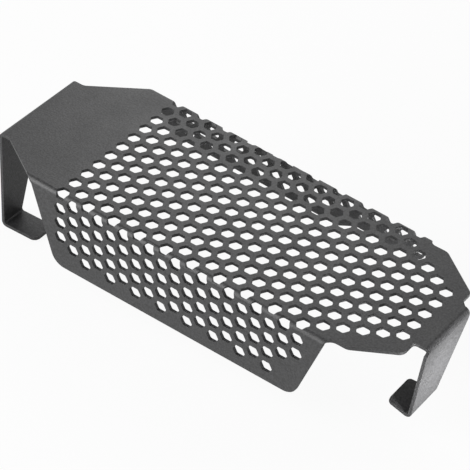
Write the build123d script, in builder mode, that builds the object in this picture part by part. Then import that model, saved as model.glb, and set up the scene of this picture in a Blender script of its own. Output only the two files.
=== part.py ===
"""Radiator guard: one perforated sheet, folded down at the front and back, with a hooked leg at each end.

Frame: the sheet's main face lies level, its underside in the plane Z = 0. X runs along the guard,
+Y points to the shallow (back) wall, -Y to the deep (front) wall. The origin is a web between two holes.
"""
from build123d import *
from math import atan2, copysign, cos, degrees, pi, radians, sin, sqrt, tan
import os

# Sheet and its bends, each rounded by narrow flats
sheet = 2.0
bend_in = 1.2
bend_out = bend_in + sheet
bend_mid = bend_in + sheet / 2
bend_flats = 3

# Honeycomb of six-sided holes, two flats of each facing the next hole of its column
pitch = 10.0
column_step = pitch * sqrt(3) / 2
hole_flats = 6.8
hole_corner = hole_flats / sqrt(3)
first_column = -9
last_full_column = 8
last_column = 14

# Front fold and wall
front_fold_y = -50.9
front_skew = -0.75
front_turn = 90.0
front_left = -97.9
front_right = 93.4
front_left_slope = 0.341
front_right_slope = 0.33
front_depth_left = 47.9
front_depth_right = 44.4
front_corner_left = 9.0
front_corner_right = 7.0

# Back fold and wall, stepped to a shallower right part
back_fold_y = 45.5
back_skew = -1.9
back_turn = 86.7
back_left = -95.0
back_right = 94.0
back_left_slope = 0.51
back_right_slope = 0.28
back_depth_left = 22.3
back_depth_right = 15.9
back_step_start = 35.0
back_step_end = 46.5
back_margin = 1.9

# Plan of the main face
left_edge = -133.4
left_front_y = -34.0
left_back_y = 28.0
left_front_x = -129.5
left_back_x = -128.5
left_round = 5.0
right_edge = 134.4
right_front_y = -26.4
right_back_y = 11.2
right_front_x = 130.0
right_back_x = 131.5
right_notch_y = 15.2
right_round = 3.0
relief = 5.0
front_land_y = -50.3
front_land_x = 104.7
front_bevel_y = -34.9
back_land_y = 41.4
back_land_x = 105.7
back_bevel_y = 22.5

# Left leg and foot
left_face = -136.2
left_heel_z = -64.5
left_foot = 24.2
left_foot_rise = 2.5
left_foot_back = -18.5
left_knee = (-11.0, -36.6)

# Right leg and foot
right_lead = 0.4
right_lean = 5.0
right_leg = 48.15
right_foot = 14.0
right_foot_rise = 15.0
right_leg_front = -28.7
right_leg_back = -4.9
right_foot_back = -9.0


class Fold:
    """A straight fold whose upper tangent line crosses X = 0 at y; side is +1 for back, -1 for front."""

    def __init__(self, y, skew, turn, side):
        a = radians(skew)
        self.along = Vector(cos(a), sin(a), 0)
        self.out = Vector(-side * sin(a), side * cos(a), 0)
        self.foot = Vector(0, y, 0)
        self.axis = Vector(0, y, -bend_in)
        self.turn = radians(turn)
        self.run = self.turn * bend_mid
        self.slope = tan(a)

    def flat(self, x, y):
        """Place along the fold, and distance past its upper tangent line, of a point of the unfolded sheet."""
        d = Vector(x, y, 0) - self.foot
        return d.dot(self.along), d.dot(self.out)

    def line_y(self, x):
        return self.foot.Y + x * self.slope

    def spoke(self, angle):
        return self.out * sin(angle) + Vector(0, 0, 1) * cos(angle)

    def radial(self, angle):
        """Plane through the fold's axis: local x along the fold, local y outward from the axis."""
        return Plane(origin=self.axis, x_dir=self.along, z_dir=self.along.cross(self.spoke(angle)))

    def cross(self):
        """Plane square to the fold: local x outward, local y upward."""
        return Plane(origin=self.axis, x_dir=self.out, z_dir=self.out.cross(Vector(0, 0, 1)))

    def wall(self):
        """Middle plane of the wall below the fold: local x along the fold, local y up, 0 at the tangent."""
        up = Vector(0, 0, 1) * sin(self.turn) - self.out * cos(self.turn)
        start = self.axis + self.spoke(self.turn) * bend_mid
        return Plane(origin=start, x_dir=self.along, z_dir=self.along.cross(up))


front = Fold(front_fold_y, front_skew, front_turn, -1)
back = Fold(back_fold_y, back_skew, back_turn, 1)


def column_places(i, low, high):
    """Hole centres of column i from low to high; odd columns sit half a pitch off the even ones."""
    shift = 0.0 if i % 2 else pitch / 2
    rows = [k * pitch + shift for k in range(-12, 12)]
    return [(i * column_step, y) for y in rows if low - 0.01 <= y <= high + 0.01]


def hexagon(x, y):
    return [(x + hole_corner * cos(k * pi / 3), y + hole_corner * sin(k * pi / 3)) for k in range(6)]


def chord(corners, level):
    """Ends of the line at one distance from the fold, inside a hole."""
    cuts = []
    for (s0, f0), (s1, f1) in zip(corners, corners[1:] + corners[:1]):
        if (f0 - level) * (f1 - level) <= 0 and f0 != f1:
            cuts.append(s0 + (s1 - s0) * (level - f0) / (f1 - f0))
    return min(cuts), max(cuts)


def slot_levels(fold, x, y):
    """Stations of a hole's slot through the bend, as (distance along the arc, low end, high end)."""
    corners = [fold.flat(*p) for p in hexagon(x, y)]
    middle = fold.flat(x, y)[1]
    reach = hole_flats / 2 * 0.97
    start = max(0.0, middle - reach)
    end = min(fold.run, middle + reach)
    if end - start < 0.25:
        return []
    inside = [k * fold.run / bend_flats for k in range(1, bend_flats)] + [middle]
    stops = [start, end] + [f for f in inside if start + 0.2 < f < end - 0.2]
    return [(f, *chord(corners, f)) for f in sorted(stops)]


def wall_places(fold, places):
    """Hole centres on the wall's middle plane."""
    out = []
    for x, y in places:
        s, f = fold.flat(x, y)
        out.append((s, fold.run - f))
    return out


def bevel_end(fold, x, y, end_x):
    """Where a bevel from (x, y) to the fold's lower tangent at end_x crosses the upper tangent."""
    f = fold.flat(x, y)[1]
    return x + (end_x - x) * f / (f - fold.run)


# Holes of the unfolded sheet
main_holes = []
front_holes = []
back_holes = []
for i in range(first_column, last_column + 1):
    past = max(0, i - last_full_column)
    main_holes += column_places(i, -55.0 + past * 5, 50.0 - past * 5)
for i in range(first_column, last_full_column + 2):
    lowest = -90.0 + 5 * max(0, -7 - i) + 10 * max(0, i - 7)
    front_holes += column_places(i, lowest, -50.0)
for i in range(first_column, last_full_column + 3):
    s_mid = i * column_step
    deep = back_depth_left if s_mid < back_step_start else back_depth_right
    limit = back.line_y(s_mid) + back.run + deep - hole_flats / 2 - back_margin
    back_holes += column_places(i, 35.0, limit)
main_holes += [place for place in back_holes if place not in main_holes]

front_slots = [slot_levels(front, x, y) for x, y in front_holes]
back_slots = [slot_levels(back, x, y) for x, y in back_holes]

# Ends of the two bends, where the outline runs on over them
front_start = bevel_end(front, left_front_x, left_front_y, front_left)
back_start = bevel_end(back, left_back_x, left_back_y, back_left)
front_relief_dy = front_land_y - relief - front.line_y(front_right)
front_relief_x = front_right + relief - sqrt(relief**2 - front_relief_dy**2)
back_relief_dy = back_land_y + relief - back.line_y(back_right)
back_relief_x = back_right + relief - sqrt(relief**2 - back_relief_dy**2)
trim = 20.0
front_slots.append([(0.0, front_start - trim, front_start), (front.run, front_left - trim, front_left)])
front_slots.append([(0.0, front_relief_x, front_relief_x + trim), (front.run, front_right, front_right + trim)])
back_slots.append([(0.0, back_start - trim, back_start), (back.run, back_left - trim, back_left)])
back_slots.append([(0.0, back_relief_x, back_relief_x + trim), (back.run, back_right, back_right + trim)])


def slot_cutter(fold, levels):
    """A ruled solid that carries a hole's chords round the bend, square to the sheet everywhere."""
    with BuildPart() as cutter:
        for f, low, high in levels:
            with BuildSketch(fold.radial(f / bend_mid)):
                with Locations(((low + high) / 2, 2.4)):
                    Rectangle(high - low, 4.4)
        loft(ruled=True)
    return cutter.part


def bend(fold, slots):
    """The bend's sector along the fold, with its slots."""
    cutters = [slot_cutter(fold, levels) for levels in slots if levels]
    turns = [fold.turn * k / bend_flats for k in range(bend_flats + 1)]
    outer = [(sin(a) * bend_out, cos(a) * bend_out) for a in turns]
    inner = [(sin(a) * bend_in, cos(a) * bend_in) for a in reversed(turns)]
    with BuildPart() as sector:
        with BuildSketch(fold.cross()):
            with BuildLine():
                Polyline(*outer, *inner, close=True)
            make_face()
        extrude(amount=110, both=True)
        add(cutters, mode=Mode.SUBTRACT)
    return sector.part


def bent(points):
    """A path whose corners are turned in narrow flats along the bend's middle arc."""
    path = [points[0]]
    for p, q, r in zip(points, points[1:], points[2:]):
        a = (Vector(*q) - Vector(*p)).normalized()
        b = (Vector(*r) - Vector(*q)).normalized()
        turn = atan2(a.X * b.Y - a.Y * b.X, a.dot(b))
        spoke = Vector(a.Y, -a.X) * copysign(bend_mid, turn)
        hub = Vector(*q) - a * bend_mid * tan(abs(turn) / 2) - spoke
        for k in range(bend_flats + 1):
            v = hub + spoke.rotate(Axis.Z, degrees(turn * k / bend_flats))
            path.append((v.X, v.Y))
    return path + [points[-1]]


def offset_path(points, distance):
    """A polyline moved sideways, its corners mitred."""
    moved = []
    for k, p in enumerate(points):
        ahead = (Vector(*points[k + 1]) - Vector(*p)).normalized() if k + 1 < len(points) else None
        behind = (Vector(*p) - Vector(*points[k - 1])).normalized() if k else None
        a = behind or ahead
        b = ahead or behind
        side = Vector(a.Y + b.Y, -a.X - b.X).normalized()
        q = Vector(*p) + side * (distance / side.dot(Vector(a.Y, -a.X)))
        moved.append((q.X, q.Y))
    return moved


def hook(path, outer_side, low, high):
    """A sheet strip bent along a path in the XZ plane, as wide in Y as from low to high."""
    outer = offset_path(bent(path), outer_side * sheet / 2)
    inner = offset_path(bent(path), -outer_side * sheet / 2)
    with BuildPart() as strip:
        with BuildSketch(Plane.XZ.offset(-high)):
            with BuildLine():
                Polyline(*outer, *reversed(inner), close=True)
            make_face()
        extrude(amount=high - low)
    return strip.part


# Front wall
with BuildPart() as front_wall:
    with BuildSketch(front.wall()) as front_face:
        with BuildLine():
            Polyline(
                (front_left, 0),
                (front_left + front_left_slope * front_depth_left, -front_depth_left),
                (front_right - front_right_slope * front_depth_right, -front_depth_right),
                (front_right, 0),
                close=True,
            )
        make_face()
        low = front_face.vertices().filter_by(lambda v: v.Y < -40).sort_by(Axis.X)
        fillet(low[0], front_corner_left)
        low = front_face.vertices().filter_by(lambda v: v.Y < -40).sort_by(Axis.X)
        fillet(low[-1], front_corner_right)
        with Locations(*wall_places(front, front_holes)):
            RegularPolygon(hole_corner, 6, rotation=-front_skew, mode=Mode.SUBTRACT)
    extrude(amount=sheet / 2, both=True)

# Back wall
with BuildPart() as back_wall:
    with BuildSketch(back.wall()) as back_face:
        with BuildLine():
            Polyline(
                (back_left, 0),
                (back_left + back_left_slope * back_depth_left, -back_depth_left),
                (back_step_start, -back_depth_left),
                (back_step_end, -back_depth_right),
                (back_right - back_right_slope * back_depth_right, -back_depth_right),
                (back_right, 0),
                close=True,
            )
        make_face()
        lower = back_face.vertices().filter_by(lambda v: v.Y < -1).sort_by(Axis.X)
        fillet(lower[:-1], 4.0)
        lower = back_face.vertices().filter_by(lambda v: v.Y < -1).sort_by(Axis.X)
        fillet(lower[-1], 7.0)
        with Locations(*wall_places(back, back_holes)):
            RegularPolygon(hole_corner, 6, rotation=back_skew, mode=Mode.SUBTRACT)
    extrude(amount=sheet / 2, both=True)

# Left leg and foot
left_rise = radians(left_foot_rise)
left_path = [
    (left_edge, sheet / 2),
    (left_face, sheet / 2),
    (left_face, left_heel_z),
    (left_face + left_foot * cos(left_rise), left_heel_z + left_foot * sin(left_rise)),
]
left_strip = hook(left_path, 1, left_front_y, left_back_y)
with BuildPart() as left_hook:
    add(left_strip)
    with BuildSketch(Plane.YZ.offset(left_face - 5)) as left_side:
        with BuildLine():
            Polyline(
                (left_front_y, 5),
                (left_front_y, left_heel_z - 5),
                (left_foot_back, left_heel_z - 5),
                (left_foot_back, left_heel_z + 3),
                left_knee,
                (left_back_y, -4),
                (left_back_y, 5),
                close=True,
            )
        make_face()
        knee = left_side.vertices().sort_by_distance((*left_knee, 0))[0]
        fillet(knee, 14.0)
    extrude(amount=60, mode=Mode.INTERSECT)
    toe_x = left_path[-1][0]
    toes = left_hook.edges().filter_by(lambda e: abs(e.center().X - toe_x) < 0.6 and e.length < 1.1 * sheet)
    fillet(toes.sort_by(Axis.Y)[0], 4.0)
    fillet(left_hook.edges().filter_by(lambda e: abs(e.center().X - toe_x) < 0.6 and e.length < 1.1 * sheet)[-1:], 2.0)

# Right leg and foot
lean = radians(right_lean)
rise = radians(right_foot_rise)
right_corner_x = right_edge + right_lead + bend_mid * tan((pi / 2 + lean) / 2)
right_heel_x = right_corner_x - right_leg * sin(lean)
right_heel_z = sheet / 2 - right_leg * cos(lean)
right_toe_x = right_heel_x - right_foot * cos(rise)
right_toe_z = right_heel_z + right_foot * sin(rise)
right_path = [
    (right_edge, sheet / 2),
    (right_corner_x, sheet / 2),
    (right_heel_x, right_heel_z),
    (right_toe_x, right_toe_z),
]
right_strip = hook(right_path, -1, right_leg_front, right_back_y)
with BuildPart() as right_hook:
    add(right_strip)
    with BuildSketch(Plane.YZ.offset(right_toe_x - 5)):
        with BuildLine():
            Polyline(
                (right_front_y, 5),
                (right_front_y, 0),
                (right_leg_front, -bend_in),
                (right_leg_front, right_heel_z - 5),
                (right_leg_back, right_heel_z - 5),
                (right_leg_back, right_heel_z),
                (right_back_y, -4),
                (right_back_y, 5),
                close=True,
            )
        make_face()
    extrude(amount=60, mode=Mode.INTERSECT)
    with BuildSketch(Plane.XY.offset(-80)) as right_plan:
        with BuildLine():
            Polyline(
                (right_toe_x - 1, right_leg_front),
                (right_edge + 10, right_leg_front),
                (right_edge + 10, right_back_y),
                (right_heel_x - 1, right_back_y),
                (right_heel_x - 1, right_leg_back),
                (right_toe_x - 1, right_foot_back),
                close=True,
            )
        make_face()
    extrude(amount=90, mode=Mode.INTERSECT)
    toes = right_hook.edges().filter_by(lambda e: abs(e.center().X - right_toe_x) < 0.6 and e.length < 1.1 * sheet)
    fillet(toes, 3.0)

# Main face
with BuildPart() as main_face:
    with BuildSketch() as plan:
        with BuildLine():
            front_relief = (front_relief_x, front.line_y(front_relief_x))
            back_relief = (back_relief_x, back.line_y(back_relief_x))
            front_hub = (front_right + relief, front_land_y - relief)
            back_hub = (back_right + relief, back_land_y + relief)
            Polyline(
                back_relief,
                (back_start, back.line_y(back_start)),
                (left_back_x, left_back_y),
                (left_edge, left_back_y),
                (left_edge, left_front_y),
                (left_front_x, left_front_y),
                (front_start, front.line_y(front_start)),
                front_relief,
            )
            RadiusArc(front_relief, (front_hub[0], front_land_y), relief)
            Polyline(
                (front_hub[0], front_land_y),
                (front_land_x, front_land_y),
                (right_front_x, front_bevel_y),
                (right_front_x, right_front_y),
                (right_edge, right_front_y),
                (right_edge, right_back_y),
                (right_back_x, right_notch_y),
                (right_back_x, back_bevel_y),
                (back_land_x, back_land_y),
                (back_hub[0], back_land_y),
            )
            RadiusArc((back_hub[0], back_land_y), back_relief, relief)
        make_face()
        rounds = [
            (left_back_x, left_back_y, left_round),
            (right_front_x, front_bevel_y, right_round),
            (right_front_x, right_front_y, 2.0),
            (right_back_x, right_notch_y, 2.0),
            (right_back_x, back_bevel_y, right_round),
            (front_land_x, front_land_y, 6.0),
            (back_land_x, back_land_y, 6.0),
        ]
        for x, y, r in rounds:
            corner = plan.vertices().sort_by_distance((x, y, 0))[0]
            fillet(corner, r)
        with Locations(*main_holes):
            RegularPolygon(hole_corner, 6, mode=Mode.SUBTRACT)
    extrude(amount=sheet)

# The whole guard
front_bend = bend(front, front_slots)
back_bend = bend(back, back_slots)
with BuildPart() as guard:
    add(main_face.part)
    add([front_bend, front_wall.part, back_bend, back_wall.part, left_hook.part, right_hook.part])

guard.part.label = "radiator_guard"
os.makedirs("parts", exist_ok=True)
export_step(guard.part, "parts/radiator_guard.step")
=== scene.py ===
"""Radiator guard: one black powder-coated sheet, cut flat, folded up, and shown on a pale studio floor."""
from math import hypot

import bpy
import numpy as np
from mathutils import Matrix, Vector
from mathutils.geometry import delaunay_2d_cdt


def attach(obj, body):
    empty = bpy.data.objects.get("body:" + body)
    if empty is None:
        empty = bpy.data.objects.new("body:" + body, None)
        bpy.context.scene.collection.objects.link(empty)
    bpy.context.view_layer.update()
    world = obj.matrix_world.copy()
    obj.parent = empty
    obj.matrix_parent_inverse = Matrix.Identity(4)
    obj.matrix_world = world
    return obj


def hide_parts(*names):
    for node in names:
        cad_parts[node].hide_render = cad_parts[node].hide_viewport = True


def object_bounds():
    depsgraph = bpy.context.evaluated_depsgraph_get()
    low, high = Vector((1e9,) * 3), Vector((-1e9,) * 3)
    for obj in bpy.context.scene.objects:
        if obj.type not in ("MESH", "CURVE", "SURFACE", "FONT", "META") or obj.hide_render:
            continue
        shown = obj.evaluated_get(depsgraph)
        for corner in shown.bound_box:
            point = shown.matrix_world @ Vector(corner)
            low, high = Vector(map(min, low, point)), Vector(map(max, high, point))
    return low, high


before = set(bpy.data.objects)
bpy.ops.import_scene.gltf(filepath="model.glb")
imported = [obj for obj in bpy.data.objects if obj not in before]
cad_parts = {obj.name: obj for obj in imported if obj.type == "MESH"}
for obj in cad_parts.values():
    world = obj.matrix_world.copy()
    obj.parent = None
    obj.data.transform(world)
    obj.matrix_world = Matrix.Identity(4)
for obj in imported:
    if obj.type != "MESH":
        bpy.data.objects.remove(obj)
cad_low, cad_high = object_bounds()

MM = 0.001

# Sheet, in millimetres: thickness, bend radius at its middle, softened edges
SHEET = 2.0
HALF = SHEET / 2
BEND = 2.2
BEND_STEPS = 8
EDGE_ROUND = 0.14
EDGE_STEPS = 2
CORNER_STEPS = 10
SHARP = 0.0
WELD = 1e-4

# Honeycomb: pitch, distance between columns, hole across its flats
PITCH = 10.0
COLUMN = PITCH * 3 ** 0.5 / 2
HOLE = 6.8
HOLE_ROUND = 1.0
HOLE_STEPS = 3

# Columns of holes, counted from the middle one
FIRST_COLUMN = -9
LAST_FULL_COLUMN = 8
LAST_COLUMN = 14
FRONT_FULL_COLUMNS = (-7, 7)
LAST_FRONT_COLUMN = 9
LAST_BACK_COLUMN = 10

# Rows of holes: their count to both sides, and where they start and end in the flat sheet
ROWS = (-12, 12)
MAIN_ROWS_Y = (-55.0, 50.0)
FRONT_ROWS_Y = (-90.0, -50.0)
BACK_ROWS_START_Y = 35.0
BACK_MARGIN = 1.9

# Main face: its edges and corners, then their radii
LEFT_EDGE = -133.4
LEFT_FRONT = (-129.5, -34.0)
LEFT_BACK = (-128.5, 28.0)
RIGHT_EDGE = 134.4
RIGHT_FRONT = (128.6, -26.2)
RIGHT_BACK = (131.5, 15.2)
FRONT_BEVEL_Y = -35.75
BACK_BEVEL_Y = 22.5
FRONT_LAND = (104.7, -50.3)
BACK_LAND = (105.7, 41.4)
RELIEF_GAP = 0.2
LEFT_BACK_ROUND = 5.0
FRONT_BEVEL_ROUND = 5.0
BACK_BEVEL_ROUND = 3.0
LAND_ROUND = 6.0
NOTCH_ROUND = 2.0

# Front wall: its fold, then places along the fold with the depth below it
FRONT_FOLD_Y = -50.9
FRONT_SLANT = 179.25
FRONT_TURN = 90.0
FRONT_LEFT = -97.9
FRONT_RIGHT = 93.4
FRONT_TOE_LEFT = (-81.6, 47.9)
FRONT_TOE_RIGHT = (78.75, 44.4)
FRONT_TOE_ROUND = 9.0

# Back wall, likewise, with a step in its lower edge
BACK_FOLD_Y = 45.5
BACK_SLANT = -1.9
BACK_TURN = 86.7
BACK_LEFT = -95.0
BACK_RIGHT = 94.0
BACK_TOE_LEFT = (-83.6, 22.3)
BACK_STEP = (35.0, 46.5)
BACK_TOE_RIGHT = (89.55, 15.9)
BACK_TOE_LEFT_ROUND = 4.0
BACK_STEP_ROUND = 4.0
BACK_TOE_RIGHT_ROUND = 7.0

# Left leg: reach past the main face's edge, drop, foot and its rise, then widths, heights and radii
LEFT_REACH = 2.8
LEFT_DROP = 65.5
LEFT_LEAN = 0.0
LEFT_FOOT = 24.2
LEFT_RISE = 2.5
LEFT_FOOT_Y = -18.5
LEFT_KNEE_Y = -11.0
LEFT_SHOULDER_Z = -4.0
LEFT_KNEE_Z = -36.6
LEFT_HEEL_Z = -61.5
LEFT_KNEE_ROUND = 14.0
LEFT_HEEL_ROUND = 1.0
LEFT_TOE_FRONT_ROUND = 4.0
LEFT_TOE_BACK_ROUND = 2.0

# Right leg, likewise, with a flare past its notch
RIGHT_REACH = 2.8
RIGHT_LEG = 48.15
RIGHT_LEAN = 5.0
RIGHT_FOOT = 14.0
RIGHT_RISE = 15.0
RIGHT_LEG_FRONT = -28.7
RIGHT_LEG_BACK = 11.2
RIGHT_SHOULDER_Y = 12.4
RIGHT_HEEL_Y = -4.9
RIGHT_TOE_Y = -8.7
RIGHT_SHOULDER_Z = -4.0
RIGHT_HEEL_Z = -47.0
RIGHT_FLARE = (2.6, 3.85)
RIGHT_FLARE_ROUNDS = (0.4, 0.6)
RIGHT_TOE_ROUND = 3.0
RIGHT_HEEL_ROUND = 1.5
RIGHT_EDGE_ROUND = 0.4
SHOULDER_ROUND = 1.0

# Straight run of a wall past its bend, longer than any wall, and spans of the crease lines along the folds
WALL_RUN = 100.0
FRONT_CREASE = (-110.0, 115.0)
BACK_CREASE = (-115.0, 110.0)
LEG_CREASE = (-45.0, 45.0)

# Powder coat: tones of its grain, gloss, and pebbles in metres
COAT_IOR = 1.6
COAT_DARK = (0.006, 0.006, 0.0064, 1)
COAT_PALE = (0.030, 0.030, 0.0312, 1)
COAT_TONES = (0.36, 0.64)
COAT_ROUGHNESS = (0.42, 0.52)
GRAIN_SCALE = 900.0
GRAIN_DETAIL = 3.0
GRAIN_ROUGHNESS = 0.6
CLOUD_SCALE = 35.0
CLOUD_DETAIL = 4.0
CLOUD_RANGE = (0.3, 0.7)
PEBBLE_STRENGTH = 0.5
PEBBLE_HEIGHT = 0.0002

# Floor, in metres: its white in view and in reflections, and the oblong of painted shade where the guard's
# shadow falls in reflections of it
FLOOR_SIZE = 12.0
FLOOR_GAP = 0.0002
FLOOR_COLOR = (0.7, 0.7, 0.7, 1.0)
SEEN_WHITE = 0.92
MIRRORED_WHITE = 1.0
SHADE_X = (-0.140, 0.122)
SHADE_Y = (-0.050, 0.060)
SHADE_EDGE = 0.015

# Light from all round: heights on the unit sphere, and the grey overhead
HORIZON_TOP = 0.3
OVERHEAD = 0.95
OVERHEAD_GREY = 0.3

# Lamps: name, place, aim, width, height, watts and the beam's spread in degrees
LAMPS = (
    ("front_left_softbox", (-0.5, -0.75, 0.5), (0, 0, 0), 0.7, 1.0, 9.5, 180.0),
    ("back_left_softbox", (-0.32, 0.475, 0.42), (-0.05, 0, 0), 0.3, 0.3, 0.78, 180.0),
    ("right_lamp", (0.275, -0.065, -0.03), (0.136, -0.008, -0.024), 0.04, 0.04, 0.09, 30.0),
)

# Camera
CAMERA_PLACE = (0.4584, -0.6810, 0.7102)
CAMERA_RIGHT = (0.80203, 0.59507, 0.05129)
CAMERA_UP = (-0.4268, 0.51092, 0.74619)
CAMERA_BACK = (0.41783, -0.62036, 0.66375)
LENS_MM = 157.0
SENSOR_MM = 36.0
NEAREST = 0.01
FARTHEST = 50.0


class Fold:
    """A straight line of the flat sheet past which it follows a path of straight runs and bends.

    foot is a point of the line and out the direction that leaves the main face. Each piece of the path
    has a length and a turn, downward negative, and its heading turns evenly along it. Crease lines run
    along the fold over its span.
    """

    def __init__(self, foot, out, lengths, turns, span):
        self.foot = np.array(foot, float)
        self.out = np.array(out, float) / hypot(*out)
        self.along = np.array((-self.out[1], self.out[0]))
        self.span = span
        self.lengths = np.array(lengths, float)
        self.turns = np.radians(turns)
        self.starts = np.concatenate(([0.0], np.cumsum(self.lengths)[:-1]))
        self.headings = np.concatenate(([0.0], np.cumsum(self.turns)[:-1]))
        chord = self.lengths * np.sinc(self.turns / 2 / np.pi)
        way = self.headings + self.turns / 2
        ends = np.cumsum(np.column_stack((chord * np.cos(way), chord * np.sin(way))), axis=0)
        self.places = np.concatenate((np.zeros((1, 2)), ends[:-1]))

    def flat(self, s, f):
        """The point of the flat sheet at s along the line and f past it."""
        return tuple(self.foot + s * self.along + f * self.out)

    def split(self, points):
        """Distances along the line and past it, by projection on its two directions."""
        away = points - self.foot
        return away @ self.along, away @ self.out

    def follow(self, f):
        """Place on the path (outward, upward) and heading at the distance f.

        A piece turning evenly by a over the length s ends a chord of s times sinc(a / 2) away,
        in the direction half-way between its two headings.
        """
        piece = np.clip(np.searchsorted(self.starts, f, side="right") - 1, 0, len(self.starts) - 1)
        s = f - self.starts[piece]
        a = self.turns[piece] * s / self.lengths[piece]
        chord = s * np.sinc(a / 2 / np.pi)
        way = self.headings[piece] + a / 2
        place = self.places[piece] + np.column_stack((chord * np.cos(way), chord * np.sin(way)))
        return place, self.headings[piece] + a

    def down_to(self, z):
        """Distance past the line at which the path's second straight run comes down to the height z."""
        start, place, heading = self.starts[2], self.places[2], self.headings[2]
        return start + (z - HALF - place[1]) / np.sin(heading)

    def stations(self):
        """Distances past the line at which a bend is cut into equal steps."""
        part = np.linspace(0.0, 1.0, BEND_STEPS + 1)
        turning = np.flatnonzero(self.turns)
        return (self.starts[turning, None] + self.lengths[turning, None] * part).ravel()


def arc(turn):
    """Length of a bend at the middle of the sheet: its radius times the turn."""
    return BEND * abs(np.radians(turn))


def run_of(points):
    """Lengths and turns of a path through corner points, each corner a bend of the same radius.

    A bend takes the radius times tan(turn / 2) off the straight runs on both of its sides.
    """
    steps = np.diff(np.array(points, float), axis=0)
    heading = np.arctan2(steps[:, 1], steps[:, 0])
    turn = (np.diff(heading) + np.pi) % (2 * np.pi) - np.pi
    off = BEND * np.tan(np.abs(turn) / 2)
    straight = np.linalg.norm(steps, axis=1)
    straight[1:] -= off
    straight[:-1] -= off
    lengths = np.zeros(2 * len(straight) - 1)
    turns = np.zeros_like(lengths)
    lengths[0::2] = straight
    lengths[1::2] = BEND * np.abs(turn)
    turns[1::2] = np.degrees(turn)
    return lengths, turns


def leg_points(reach, leg, lean, foot, rise):
    """Corners of a leg in its own plane: out of the main face, down, and back under it along the foot."""
    lean, rise = np.radians((lean, rise))
    heel = (reach - leg * np.sin(lean), -leg * np.cos(lean))
    return (0, 0), (reach, 0), heel, (heel[0] - foot * np.cos(rise), heel[1] + foot * np.sin(rise))


def slanted(degrees):
    """Direction of a line's out side, turned from +Y: minus the sine and the cosine of the turn."""
    return -np.sin(np.radians(degrees)), np.cos(np.radians(degrees))


def wall_fold(y, slant, turn, span):
    """The fold of a wall: one bend downward, then a straight run."""
    return Fold((0, y), slanted(slant), (arc(turn), WALL_RUN), (-turn, 0), span)


front = wall_fold(FRONT_FOLD_Y, FRONT_SLANT, FRONT_TURN, FRONT_CREASE)
back = wall_fold(BACK_FOLD_Y, BACK_SLANT, BACK_TURN, BACK_CREASE)
left_points = leg_points(LEFT_REACH, LEFT_DROP, LEFT_LEAN, LEFT_FOOT, LEFT_RISE)
right_points = leg_points(RIGHT_REACH, RIGHT_LEG, RIGHT_LEAN, RIGHT_FOOT, RIGHT_RISE)
left = Fold((LEFT_EDGE, 0), (-1, 0), *run_of(left_points), LEG_CREASE)
right = Fold((RIGHT_EDGE, 0), (1, 0), *run_of(right_points), LEG_CREASE)
FOLDS = (front, back, left, right)


def unit(vectors):
    """Vectors divided by their lengths."""
    return vectors / np.linalg.norm(vectors, axis=-1, keepdims=True)


def rounded(corners, radii, steps):
    """A closed outline whose corners are arcs tangent to both sides, each cut into equal steps.

    The arc starts a radius times tan(turn / 2) before the corner, and its points are the sums of the
    turning heading: radius times the differences of the heading's sine and cosine.
    """
    corners = np.array(corners, float)
    radii = np.array(radii, float)
    before = unit(corners - np.roll(corners, 1, axis=0))
    after = np.roll(before, -1, axis=0)
    cross = before[:, 0] * after[:, 1] - before[:, 1] * after[:, 0]
    turn = np.arctan2(cross, np.sum(before * after, axis=1))
    start = corners - before * (radii * np.tan(np.abs(turn) / 2))[:, None]
    heading = np.arctan2(before[:, 1], before[:, 0])[:, None]
    swept = heading + turn[:, None] * np.linspace(0.0, 1.0, steps + 1)
    reach = (np.sign(turn) * radii)[:, None]
    x = start[:, :1] + reach * (np.sin(swept) - np.sin(heading))
    y = start[:, 1:] + reach * (np.cos(heading) - np.cos(swept))
    points = np.column_stack((x.ravel(), y.ravel()))
    return points[np.linalg.norm(points - np.roll(points, 1, axis=0), axis=1) > WELD]


def mitred(into, onward):
    """Outward offsets for one unit, from the outward normals of the edges on both sides of each corner.

    Their sum, divided by one plus their product, lies a unit off both edges.
    """
    return (into + onward) / (1 + np.sum(into * onward, axis=1, keepdims=True))


def shrunk(loop, distance):
    """A counter-clockwise outline drawn in by a distance, its corners mitred."""
    ahead = unit(np.roll(loop, -1, axis=0) - loop)
    onward = np.column_stack((ahead[:, 1], -ahead[:, 0]))
    return loop - distance * mitred(np.roll(onward, 1, axis=0), onward)


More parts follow.
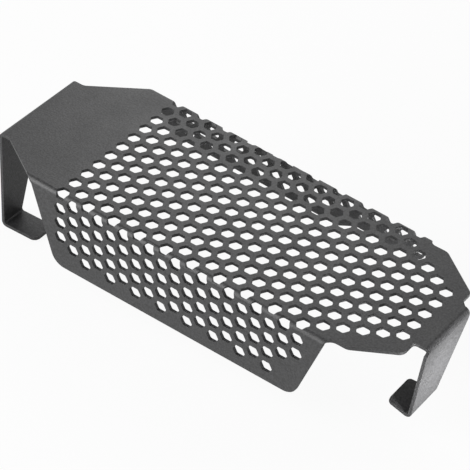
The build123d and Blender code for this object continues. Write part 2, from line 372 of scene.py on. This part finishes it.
def blank_outline():
    """Outline of the flat sheet, counter-clockwise from the left foot: main face, walls, legs and feet.

    Each corner has a place and a radius. A relief cut beside a fold is as round as it is deep.
    """
    front_run = front.starts[1]
    back_run = back.starts[1]
    front_end = front.flat(FRONT_RIGHT, front_run)
    back_end = back.flat(-BACK_RIGHT, back_run)
    front_relief = FRONT_LAND[1] - front_end[1] - RELIEF_GAP
    back_relief = back_end[1] - BACK_LAND[1] - RELIEF_GAP
    left_toe = LEFT_EDGE - left.lengths.sum()
    right_toe = RIGHT_EDGE + right.lengths.sum()
    corners = [
        ((left_toe, LEFT_FRONT[1]), LEFT_TOE_FRONT_ROUND),
        (LEFT_FRONT, SHARP),
        (front.flat(FRONT_LEFT, front_run), SHARP),
        (front.flat(FRONT_TOE_LEFT[0], front_run + FRONT_TOE_LEFT[1]), FRONT_TOE_ROUND),
        (front.flat(FRONT_TOE_RIGHT[0], front_run + FRONT_TOE_RIGHT[1]), FRONT_TOE_ROUND),
        (front_end, SHARP),
        ((front_end[0], FRONT_LAND[1]), front_relief),
        (FRONT_LAND, LAND_ROUND),
        ((RIGHT_FRONT[0], FRONT_BEVEL_Y), FRONT_BEVEL_ROUND),
        (RIGHT_FRONT, NOTCH_ROUND),
        ((RIGHT_EDGE + RIGHT_FLARE[0], RIGHT_FRONT[1]), RIGHT_FLARE_ROUNDS[0]),
        ((RIGHT_EDGE + RIGHT_FLARE[1], RIGHT_LEG_FRONT), RIGHT_FLARE_ROUNDS[1]),
        ((right_toe, RIGHT_LEG_FRONT), RIGHT_TOE_ROUND),
        ((right_toe, RIGHT_TOE_Y), RIGHT_TOE_ROUND),
        ((RIGHT_EDGE + right.down_to(RIGHT_HEEL_Z), RIGHT_HEEL_Y), RIGHT_HEEL_ROUND),
        ((RIGHT_EDGE + right.down_to(RIGHT_SHOULDER_Z), RIGHT_LEG_BACK), SHOULDER_ROUND),
        ((RIGHT_EDGE, RIGHT_SHOULDER_Y), RIGHT_EDGE_ROUND),
        (RIGHT_BACK, NOTCH_ROUND),
        ((RIGHT_BACK[0], BACK_BEVEL_Y), BACK_BEVEL_ROUND),
        (BACK_LAND, LAND_ROUND),
        ((back_end[0], BACK_LAND[1]), back_relief),
        (back_end, SHARP),
        (back.flat(-BACK_TOE_RIGHT[0], back_run + BACK_TOE_RIGHT[1]), BACK_TOE_RIGHT_ROUND),
        (back.flat(-BACK_STEP[1], back_run + BACK_TOE_RIGHT[1]), BACK_STEP_ROUND),
        (back.flat(-BACK_STEP[0], back_run + BACK_TOE_LEFT[1]), BACK_STEP_ROUND),
        (back.flat(-BACK_TOE_LEFT[0], back_run + BACK_TOE_LEFT[1]), BACK_TOE_LEFT_ROUND),
        (back.flat(-BACK_LEFT, back_run), SHARP),
        (LEFT_BACK, LEFT_BACK_ROUND),
        ((LEFT_EDGE - left.down_to(LEFT_SHOULDER_Z), LEFT_BACK[1]), SHOULDER_ROUND),
        ((LEFT_EDGE - left.down_to(LEFT_KNEE_Z), LEFT_KNEE_Y), LEFT_KNEE_ROUND),
        ((LEFT_EDGE - left.down_to(LEFT_HEEL_Z), LEFT_FOOT_Y), LEFT_HEEL_ROUND),
        ((left_toe, LEFT_FOOT_Y), LEFT_TOE_BACK_ROUND),
    ]
    places, radii = zip(*corners)
    return rounded(places, radii, CORNER_STEPS)


def hole_places():
    """Centres of the honeycomb in the flat sheet.

    Even columns sit half a pitch off the odd ones. The rows of a column run from the front wall's lowest,
    over the main face, to the last that clears the back wall's lower edge. Past the full columns, the main
    face's rows end half a pitch sooner for each column, and the front wall's lowest row rises by half
    a pitch on the left and by a whole one on the right.
    """
    columns = np.arange(FIRST_COLUMN, LAST_COLUMN + 1)
    column, row = np.meshgrid(columns, np.arange(*ROWS), indexing="ij")
    x = column * COLUMN
    y = row * PITCH + np.where(column % 2 == 0, PITCH / 2, 0.0)

    sooner = PITCH / 2 * np.maximum(0, column - LAST_FULL_COLUMN)
    on_main = (y >= MAIN_ROWS_Y[0] + sooner) & (y <= MAIN_ROWS_Y[1] - sooner)

    left_rise = PITCH / 2 * np.maximum(0, FRONT_FULL_COLUMNS[0] - column)
    right_rise = PITCH * np.maximum(0, column - FRONT_FULL_COLUMNS[1])
    lowest = FRONT_ROWS_Y[0] + left_rise + right_rise
    on_front = (column <= LAST_FRONT_COLUMN) & (y >= lowest) & (y <= FRONT_ROWS_Y[1])

    depth = np.where(x < BACK_STEP[0], BACK_TOE_LEFT[1], BACK_TOE_RIGHT[1])
    fold_y = back.foot[1] + x * back.along[1] / back.along[0]
    limit = fold_y + back.starts[1] + depth - HOLE / 2 - BACK_MARGIN
    on_back = (column <= LAST_BACK_COLUMN) & (y >= BACK_ROWS_START_Y) & (y <= limit)

    kept = on_main | on_front | on_back
    return np.column_stack((x[kept], y[kept]))


def hole_outline(grown):
    """One six-sided hole about its centre, grown all round, its corners rounded.

    A corner lies half the width across flats, times two over the root of three, from the centre.
    """
    angle = np.arange(6) * np.pi / 3
    reach = (HOLE / 2 + grown) * 2 / 3 ** 0.5
    corners = reach * np.column_stack((np.cos(angle), np.sin(angle)))
    return rounded(corners, np.full(6, HOLE_ROUND + grown), HOLE_STEPS)


def crease_lines():
    """First and last ends of the lines along which each bend is cut into steps, over the fold's span."""
    first, last = [], []
    for fold in FOLDS:
        past = fold.stations()[:, None] * fold.out
        first.append(fold.foot + fold.span[0] * fold.along + past)
        last.append(fold.foot + fold.span[1] * fold.along + past)
    return np.concatenate(first), np.concatenate(last)


def cut_blank():
    """Triangles of the flat sheet between its outline and its holes, split along the crease lines.

    The outline and the holes go in as faces, and the triangles that lie in the outline alone are kept.
    """
    outline = shrunk(blank_outline(), EDGE_ROUND)
    hole = hole_outline(EDGE_ROUND)
    places = hole_places()
    holes = (places[:, None, :] + hole[None, :, :]).reshape(-1, 2)
    first, last = crease_lines()
    points = np.concatenate((outline, holes, first, last))
    n, m, lines = len(outline), len(hole), len(first)
    rings = n + np.arange(len(places) * m).reshape(-1, m)
    faces = [list(range(n))] + rings.tolist()
    start = n + len(holes) + np.arange(lines)
    edges = np.column_stack((start, start + lines)).tolist()

    all_triangles = 0
    spots, _, cut, _, _, owners = delaunay_2d_cdt(
        list(map(Vector, points.tolist())), edges, faces, all_triangles, WELD, True)
    flat = np.array(list(map(tuple, spots)))
    owned = np.array(list(map(len, owners)))
    triangles = np.array(cut)[owned == 1]
    used, index = np.unique(triangles, return_inverse=True)
    return flat[used], index.reshape(-1, 3)


def fold_up(points):
    """Places of the sheet's middle, folded, for points of the flat sheet, and the directions there.

    Past each fold the sheet follows the fold's path: out and up by the path's place, along the line as
    before. The directions are those in which the flat sheet's x, y and upper side point once the heading
    has turned them.
    """
    count = len(points)
    place = np.column_stack((points, np.zeros(count)))
    frames = np.tile(np.eye(3), (count, 1, 1))
    up = np.array((0.0, 0.0, 1.0))
    for fold in FOLDS:
        s, f = fold.split(points)
        past = f > 0
        s, f = s[past], f[past]
        path, heading = fold.follow(f)
        foot = np.append(fold.foot, 0.0)
        along = np.append(fold.along, 0.0)
        out = np.append(fold.out, 0.0)
        place[past] = foot + s[:, None] * along + path[:, :1] * out + path[:, 1:] * up
        sloped = np.cos(heading)[:, None] * out + np.sin(heading)[:, None] * up
        frames[past, 0] = fold.along[0] * along + fold.out[0] * sloped
        frames[past, 1] = fold.along[1] * along + fold.out[1] * sloped
        frames[past, 2] = np.cos(heading)[:, None] * up - np.sin(heading)[:, None] * out
    place[:, 2] += HALF
    return place, frames


def rim_edges(triangles, count):
    """Edges that belong to one triangle only, in its direction, ordered by their first point."""
    edges = np.concatenate((triangles[:, (0, 1)], triangles[:, (1, 2)], triangles[:, (2, 0)]))
    there = edges[:, 0] * count + edges[:, 1]
    back_again = edges[:, 1] * count + edges[:, 0]
    rim = edges[~np.isin(there, back_again)]
    return rim[np.argsort(rim[:, 0])]


def rim_profile():
    """The rim's profile from the upper skin to the lower: a quarter round, a straight cut, a quarter round.

    For each point, the angle of its normal from the sheet's upper side, its distance outward from the
    skin's edge, the radius times the angle's sine, and its height, the radius times the cosine off the
    centre of its round.
    """
    quarter = np.linspace(0.0, np.pi / 2, EDGE_STEPS + 1)
    angle = np.concatenate((quarter, quarter + np.pi / 2))
    centre = (HALF - EDGE_ROUND) * np.repeat((1.0, -1.0), EDGE_STEPS + 1)
    return angle, EDGE_ROUND * np.sin(angle), centre + EDGE_ROUND * np.cos(angle)


def guard_sheet():
    """The folded sheet as one closed mesh.

    An upper and a lower skin of the same triangles lie half the thickness off the sheet's middle, and
    a rim joins them round every edge. Each point of the rim's profile is carried along the edges, outward
    in the flat sheet by mitred normals before it is folded, then up by its height, with its own normal.
    """
    flat, triangles = cut_blank()
    count = len(flat)
    rim = rim_edges(triangles, count)
    following = np.searchsorted(rim[:, 0], rim[:, 1])
    ahead = unit(flat[rim[:, 1]] - flat[rim[:, 0]])
    onward = np.column_stack((ahead[:, 1], -ahead[:, 0]))
    behind = np.empty_like(onward)
    behind[following] = onward
    outward = mitred(behind, onward)

    middle, frames = fold_up(flat)
    skin_up = frames[:, 2]
    places = [middle + HALF * skin_up, middle - HALF * skin_up]
    normals = [skin_up, -skin_up]
    edge = flat[rim[:, 0]]
    inner_profile = list(zip(*rim_profile()))[1:-1]
    for angle, reach, height in inner_profile:
        spot, turned = fold_up(edge + reach * outward)
        side = unit(np.einsum("ij,ijk->ik", outward, turned[:, :2]))
        places.append(spot + height * turned[:, 2])
        normals.append(np.sin(angle) * side + np.cos(angle) * turned[:, 2])

    size = len(rim)
    rings = [rim[:, 0]]
    rings += [2 * count + k * size + np.arange(size) for k in range(len(inner_profile))]
    rings += [count + rim[:, 0]]
    rings = np.array(rings)
    upper, lower = rings[:-1], rings[1:]
    quads = np.stack((upper[:, following], upper, lower, lower[:, following]), axis=-1).reshape(-1, 4)
    faces = triangles.tolist() + (triangles[:, ::-1] + count).tolist() + quads.tolist()

    mesh = bpy.data.meshes.new("guard_sheet")
    mesh.from_pydata((np.concatenate(places) * MM).tolist(), [], faces)
    mesh.polygons.foreach_set("use_smooth", np.ones(len(faces), dtype=bool))
    mesh.normals_split_custom_set_from_vertices(np.concatenate(normals).tolist())
    mesh.update()
    made = bpy.data.objects.new("guard_sheet", mesh)
    bpy.context.scene.collection.objects.link(made)
    return made


def node(tree, kind, **settings):
    """A shader node with its properties set."""
    made = tree.nodes.new(kind)
    for key, value in settings.items():
        setattr(made, key, value)
    return made


def new_material(name):
    """A material with an empty node tree."""
    material = bpy.data.materials.new(name)
    material.use_nodes = True
    material.node_tree.nodes.clear()
    return material, material.node_tree


def powder_coat():
    """Fine-grained black powder coat: a pebbled bump and grain in its colour, clouds in its gloss."""
    material, tree = new_material("black_powder_coat")
    link = tree.links.new
    out = node(tree, "ShaderNodeOutputMaterial")
    shader = node(tree, "ShaderNodeBsdfPrincipled")
    shader.inputs["Metallic"].default_value = 0.0
    shader.inputs["IOR"].default_value = COAT_IOR
    link(shader.outputs["BSDF"], out.inputs["Surface"])
    place = node(tree, "ShaderNodeTexCoord").outputs["Object"]

    grain = node(tree, "ShaderNodeTexNoise")
    grain.inputs["Scale"].default_value = GRAIN_SCALE
    grain.inputs["Detail"].default_value = GRAIN_DETAIL
    grain.inputs["Roughness"].default_value = GRAIN_ROUGHNESS
    link(place, grain.inputs["Vector"])

    cloud = node(tree, "ShaderNodeTexNoise")
    cloud.inputs["Scale"].default_value = CLOUD_SCALE
    cloud.inputs["Detail"].default_value = CLOUD_DETAIL
    link(place, cloud.inputs["Vector"])

    tone = node(tree, "ShaderNodeValToRGB")
    dark_end, pale_end = tone.color_ramp.elements
    dark_end.position, pale_end.position = COAT_TONES
    dark_end.color = COAT_DARK
    pale_end.color = COAT_PALE
    link(grain.outputs["Fac"], tone.inputs["Fac"])
    link(tone.outputs["Color"], shader.inputs["Base Color"])

    gloss = node(tree, "ShaderNodeMapRange")
    gloss.inputs["From Min"].default_value = CLOUD_RANGE[0]
    gloss.inputs["From Max"].default_value = CLOUD_RANGE[1]
    gloss.inputs["To Min"].default_value = COAT_ROUGHNESS[0]
    gloss.inputs["To Max"].default_value = COAT_ROUGHNESS[1]
    link(cloud.outputs["Fac"], gloss.inputs["Value"])
    link(gloss.outputs["Result"], shader.inputs["Roughness"])

    bump = node(tree, "ShaderNodeBump")
    bump.inputs["Strength"].default_value = PEBBLE_STRENGTH
    bump.inputs["Distance"].default_value = PEBBLE_HEIGHT
    link(grain.outputs["Fac"], bump.inputs["Height"])
    link(bump.outputs["Normal"], shader.inputs["Normal"])
    return material


def pale_floor():
    """White to the eye and in reflections, in part its own lit surface, so that it keeps the guard's shadow.

    In reflections the white fades to the lit surface, with its real shadow, inside an oblong of painted
    shade where the guard's shadow falls, by the larger of a point's distances past the sides of that oblong.
    """
    material, tree = new_material("pale_floor")
    link = tree.links.new
    out = node(tree, "ShaderNodeOutputMaterial")
    lit = node(tree, "ShaderNodeBsdfDiffuse")
    lit.inputs["Color"].default_value = FLOOR_COLOR
    glow = node(tree, "ShaderNodeEmission")
    glow.inputs["Strength"].default_value = 1.0

    place = node(tree, "ShaderNodeSeparateXYZ")
    link(node(tree, "ShaderNodeTexCoord").outputs["Object"], place.inputs["Vector"])
    # Painted shade in reflections: an oblong where the guard's shadow falls, by a point's distance past its
    # sides
    past = node(tree, "ShaderNodeMath", operation="MAXIMUM")
    for k, (axis, (low_side, high_side)) in enumerate((("X", SHADE_X), ("Y", SHADE_Y))):
        off = node(tree, "ShaderNodeMath", operation="SUBTRACT")
        off.inputs[1].default_value = (low_side + high_side) / 2
        link(place.outputs[axis], off.inputs[0])
        away = node(tree, "ShaderNodeMath", operation="ABSOLUTE")
        link(off.outputs[0], away.inputs[0])
        beyond = node(tree, "ShaderNodeMath", operation="SUBTRACT")
        beyond.inputs[1].default_value = (high_side - low_side) / 2
        link(away.outputs[0], beyond.inputs[0])
        link(beyond.outputs[0], past.inputs[k])
    shade = node(tree, "ShaderNodeMapRange", interpolation_type="SMOOTHSTEP")
    shade.inputs["From Max"].default_value = SHADE_EDGE
    shade.inputs["To Max"].default_value = MIRRORED_WHITE
    link(past.outputs[0], shade.inputs["Value"])

    rays = node(tree, "ShaderNodeLightPath")
    mirrored = node(tree, "ShaderNodeMath", operation="MAXIMUM")
    link(rays.outputs["Is Glossy Ray"], mirrored.inputs[0])
    link(rays.outputs["Is Transmission Ray"], mirrored.inputs[1])
    part = node(tree, "ShaderNodeMath", operation="MULTIPLY")
    link(mirrored.outputs[0], part.inputs[0])
    link(shade.outputs["Result"], part.inputs[1])
    seen = node(tree, "ShaderNodeMath", operation="MULTIPLY")
    seen.inputs[1].default_value = SEEN_WHITE
    link(rays.outputs["Is Camera Ray"], seen.inputs[0])
    share = node(tree, "ShaderNodeMath", operation="MAXIMUM")
    link(part.outputs[0], share.inputs[0])
    link(seen.outputs[0], share.inputs[1])
    mix = node(tree, "ShaderNodeMixShader")
    link(share.outputs[0], mix.inputs["Fac"])
    link(lit.outputs["BSDF"], mix.inputs[1])
    link(glow.outputs["Emission"], mix.inputs[2])
    link(mix.outputs["Shader"], out.inputs["Surface"])
    return material


def studio_world():
    """Light from all round: white from the horizon up, then falling evenly to a grey overhead."""
    world = bpy.data.worlds.new("studio")
    world.use_nodes = True
    tree = world.node_tree
    tree.nodes.clear()
    link = tree.links.new
    out = node(tree, "ShaderNodeOutputWorld")
    sky = node(tree, "ShaderNodeBackground")
    height = node(tree, "ShaderNodeSeparateXYZ")
    link(node(tree, "ShaderNodeTexCoord").outputs["Generated"], height.inputs["Vector"])
    fall = node(tree, "ShaderNodeValToRGB")
    low_end, high_end = fall.color_ramp.elements
    low_end.position, low_end.color = HORIZON_TOP, (1.0, 1.0, 1.0, 1.0)
    high_end.position, high_end.color = OVERHEAD, (OVERHEAD_GREY, OVERHEAD_GREY, OVERHEAD_GREY, 1.0)
    link(height.outputs["Z"], fall.inputs["Fac"])
    link(fall.outputs["Color"], sky.inputs["Color"])
    link(sky.outputs["Background"], out.inputs["Surface"])
    return world


def softbox(name, place, aim, width, height, watts, spread):
    """A flat lamp of a width and height, turned to its aim with its height upward."""
    lamp = bpy.data.lights.new(name, "AREA")
    lamp.shape = "RECTANGLE"
    lamp.size = width
    lamp.size_y = height
    lamp.energy = watts
    lamp.spread = np.radians(spread)
    holder = bpy.data.objects.new(name, lamp)
    bpy.context.scene.collection.objects.link(holder)
    holder.location = place
    holder.rotation_euler = (Vector(aim) - Vector(place)).to_track_quat("-Z", "Y").to_euler()


# The sheet
sheet = guard_sheet()
sheet.data.materials.append(powder_coat())
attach(sheet, "root")
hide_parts("radiator_guard")

# Floor, just under the lowest point
floor_mesh = bpy.data.meshes.new("floor")
side = FLOOR_SIZE / 2
floor_z = cad_low.z - FLOOR_GAP
corners = [(-side, -side, floor_z), (side, -side, floor_z), (side, side, floor_z), (-side, side, floor_z)]
floor_mesh.from_pydata(corners, [], [(0, 1, 2, 3)])
floor_mesh.materials.append(pale_floor())
floor = bpy.data.objects.new("floor", floor_mesh)
bpy.context.scene.collection.objects.link(floor)

# Light
bpy.context.scene.world = studio_world()
for lamp_values in LAMPS:
    softbox(*lamp_values)

# Camera
camera = bpy.data.objects.new("camera", bpy.data.cameras.new("camera"))
camera.data.sensor_width = SENSOR_MM
camera.data.lens = LENS_MM
camera.data.clip_start = NEAREST
camera.data.clip_end = FARTHEST
turned = Matrix((CAMERA_RIGHT, CAMERA_UP, CAMERA_BACK)).transposed().to_4x4()
camera.matrix_world = Matrix.Translation(CAMERA_PLACE) @ turned
bpy.context.scene.collection.objects.link(camera)
bpy.context.scene.camera = camera
bpy.context.scene.view_settings.view_transform = "Standard"
